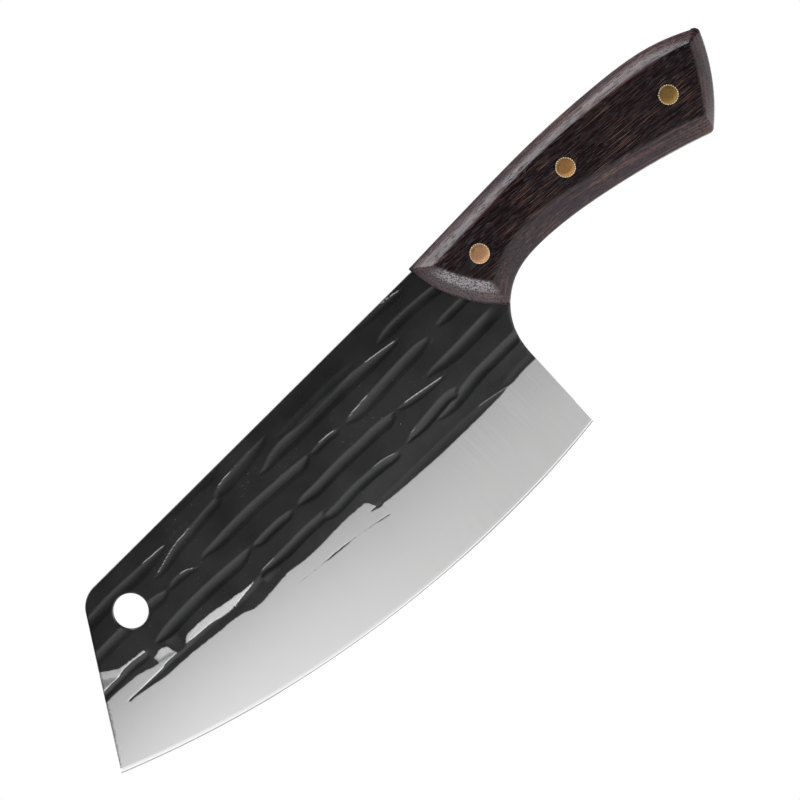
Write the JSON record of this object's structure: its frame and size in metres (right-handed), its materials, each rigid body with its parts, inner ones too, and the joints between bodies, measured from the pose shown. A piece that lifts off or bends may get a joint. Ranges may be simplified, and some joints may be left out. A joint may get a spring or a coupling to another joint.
{
  "type": "meat cleaver",
  "caption": "Forged butcher's cleaver: hammered dark blade with a ground bevel, slanted front, hanging hole, full tang and a riveted wooden handle.",
  "frame": {"origin": "centre of the hanging hole, in the middle of the blade's thickness", "axes": "+X along the spine from the hanging hole to the butt of the handle, +Y across the thickness to the rear face, +Z from the cutting edge to the spine"},
  "size_m": [0.3, 0.02, 0.0799],
  "materials": {
    "blade_steel": "black forge scale with a polished ground bevel",
    "handle_wood": "oiled dark hardwood with fine reddish grain",
    "rivet_brass": "ground flush with the wood, satin"
  },
  "bodies": {
    "root": {"blade": "blade_steel", "front_scale": "handle_wood", "rear_scale": "handle_wood", "front_rivet_barrel": "rivet_brass", "front_rivet_shank": "rivet_brass", "middle_rivet_barrel": "rivet_brass", "middle_rivet_shank": "rivet_brass", "rear_rivet_barrel": "rivet_brass", "rear_rivet_shank": "rivet_brass"}
  },
  "joints": []
}
